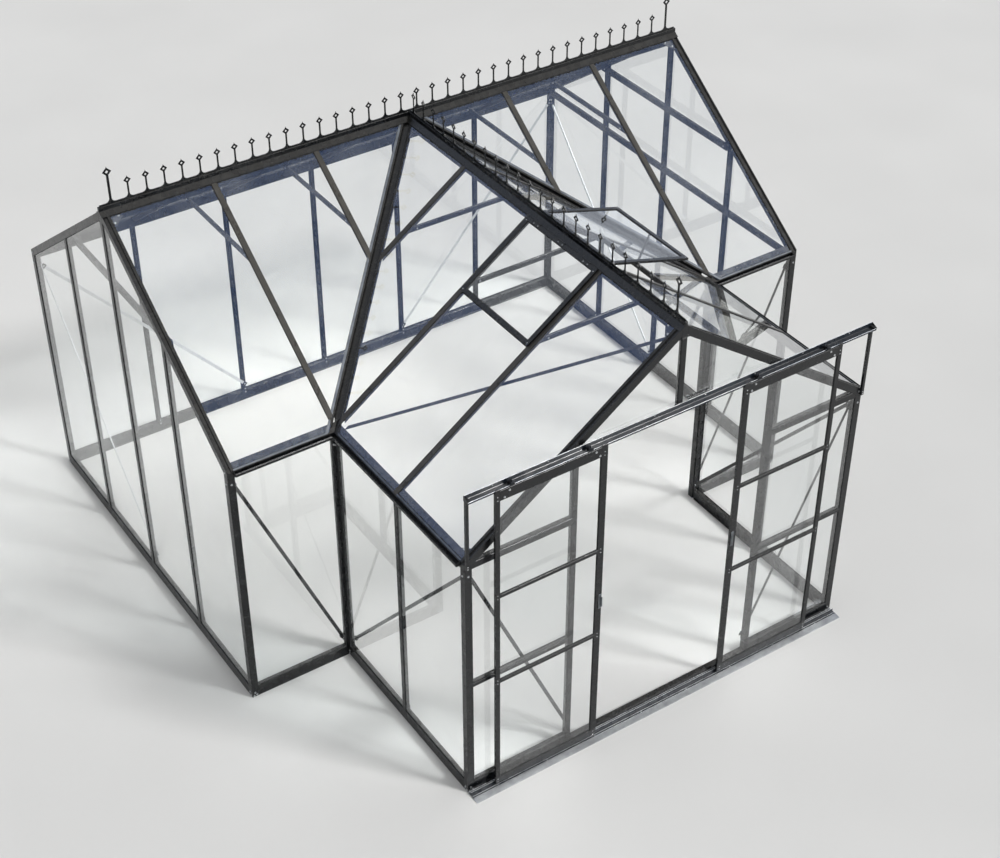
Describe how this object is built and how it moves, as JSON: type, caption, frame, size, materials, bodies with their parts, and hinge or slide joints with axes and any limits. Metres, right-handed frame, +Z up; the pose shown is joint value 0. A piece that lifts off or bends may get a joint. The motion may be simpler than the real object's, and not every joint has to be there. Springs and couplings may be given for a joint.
{
  "type": "glass greenhouse",
  "caption": "T-shaped glass greenhouse with a black aluminium frame, crested ridges, a gutter at the eaves, roof vents and two sliding doors across the front gable.",
  "frame": {"origin": "centre of the footprint at ground level, gutters and threshold ramp included", "axes": "+Z up; -Y is the side with the sliding doors; +X is the visitor's right when facing the doors; the main ridge runs along X and the wing's ridge along Y"},
  "size_m": [3.83, 3.937, 2.7866],
  "materials": {
    "black_aluminium": "satin powder coat",
    "bare_aluminium": "mill finish",
    "clear_glass": "clear polished",
    "roller_steel": "zinc plated"
  },
  "bodies": {
    "frame": {"base_rails": "black_aluminium", "corner_posts": "black_aluminium", "valley_posts": "black_aluminium", "wall_bars": "black_aluminium", "gable_bars": "black_aluminium", "door_wall_posts": "black_aluminium", "door_wall_rails": "black_aluminium", "eave_rails": "black_aluminium", "ridge_beam_main": "black_aluminium", "ridge_beam_wing": "black_aluminium", "gable_rafters": "black_aluminium", "roof_bars_main": "black_aluminium", "roof_bars_wing": "black_aluminium", "valley_rafters": "black_aluminium", "ridge_cap_main": "black_aluminium", "ridge_cap_wing": "black_aluminium", "cresting_main": "black_aluminium", "cresting_wing": "black_aluminium", "gable_ties": "black_aluminium", "collar_ties": "black_aluminium", "door_head_track": "black_aluminium", "track_struts": "black_aluminium", "door_floor_track": "black_aluminium", "vent_sills": "black_aluminium", "vent_frames": "black_aluminium", "front_braces": "black_aluminium", "threshold_ramp": "bare_aluminium", "rear_braces": "bare_aluminium", "vent_stay": "bare_aluminium", "glass_back_wall": "clear_glass", "glass_end_gables": "clear_glass", "glass_shoulder_walls": "clear_glass", "glass_wing_sides": "clear_glass", "glass_door_wall": "clear_glass", "roof_glass_main": "clear_glass", "roof_glass_wing": "clear_glass", "vent_glass": "clear_glass"},
    "left_door": {"left_door_stiles": "black_aluminium", "left_door_rails": "black_aluminium", "left_door_glass": "clear_glass", "left_door_rollers": "roller_steel"},
    "right_door": {"right_door_stiles": "black_aluminium", "right_door_rails": "black_aluminium", "right_door_glass": "clear_glass", "right_door_rollers": "roller_steel"}
  },
  "joints": [
    {"name": "left_door_slide", "type": "slide", "parent": "frame", "child": "left_door", "axis": [1, 0, 0], "range_m": [-0.124, 0.473]},
    {"name": "right_door_slide", "type": "slide", "parent": "frame", "child": "right_door", "axis": [1, 0, 0], "range_m": [-0.376, 0.221]}
  ]
}
